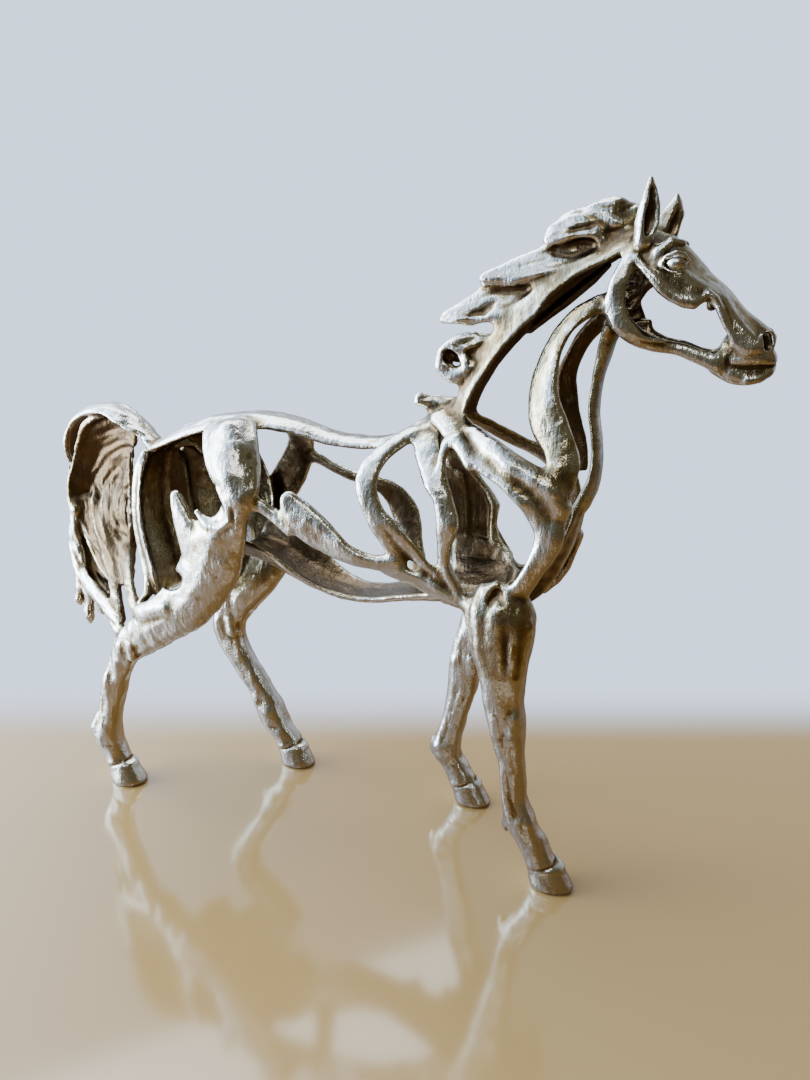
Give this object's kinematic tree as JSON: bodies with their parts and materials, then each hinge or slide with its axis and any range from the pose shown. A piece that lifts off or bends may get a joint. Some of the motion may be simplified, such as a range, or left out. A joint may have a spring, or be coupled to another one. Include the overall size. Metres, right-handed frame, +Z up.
{
  "type": "openwork horse statuette",
  "caption": "Free-standing openwork horse statuette of cast straps and shells joined into one body, with flowing mane and tail, standing on four flat hooves.",
  "frame": {"origin": "on the ground, at the centre of the overall footprint", "axes": "+X towards the horse's head, +Y to the horse's left, +Z up"},
  "size_m": [0.3426, 0.072, 0.3],
  "materials": {
    "bronze": "polished cast bronze with a pale champagne-silver surface and dark brown patina in the hollows",
    "steel": "plain drawn steel pins, hidden inside the legs"
  },
  "bodies": {
    "root": {"back_strap": "bronze", "rump_shell": "bronze", "right_hip_strap": "bronze", "right_thigh": "bronze", "right_thigh_finger": "bronze", "left_haunch_wall": "bronze", "left_hip_strap": "bronze", "left_thigh": "bronze", "right_flank_strap": "bronze", "right_belly_strap": "bronze", "belly_trough": "bronze", "right_rib_strap": "bronze", "right_rib_web": "bronze", "left_rib_strap": "bronze", "right_elbow_strap": "bronze", "right_shoulder_strap": "bronze", "right_scapula_strap": "bronze", "left_shoulder_wall": "bronze", "left_scapula_strap": "bronze", "breast_shell": "bronze", "breast_lobe": "bronze", "right_forearm": "bronze", "left_forearm": "bronze", "crest": "bronze", "right_neck_strap": "bronze", "left_neck_strap": "bronze", "throat_strap": "bronze", "face_shell": "bronze", "muzzle": "bronze", "right_jaw": "bronze", "left_jaw": "bronze", "right_ear": "bronze", "left_ear": "bronze", "eyes": "bronze", "mane_lock_1": "bronze", "mane_lock_2": "bronze", "mane_lock_3": "bronze", "mane_lock_4": "bronze", "mane_curl": "bronze", "mane_lock_5": "bronze", "tail_crown": "bronze", "tail_shell": "bronze", "tail_outer_strand": "bronze", "tail_middle_strand": "bronze", "tail_inner_strand": "bronze", "tail_fringe": "bronze", "right_foreleg": "bronze", "left_foreleg": "bronze", "right_hindleg": "bronze", "left_hindleg": "bronze", "right_fore_hoof": "bronze", "left_fore_hoof": "bronze", "right_hind_hoof": "bronze", "left_hind_hoof": "bronze", "leg_pins": "steel", "hoof_pins": "steel"}
  },
  "joints": []
}
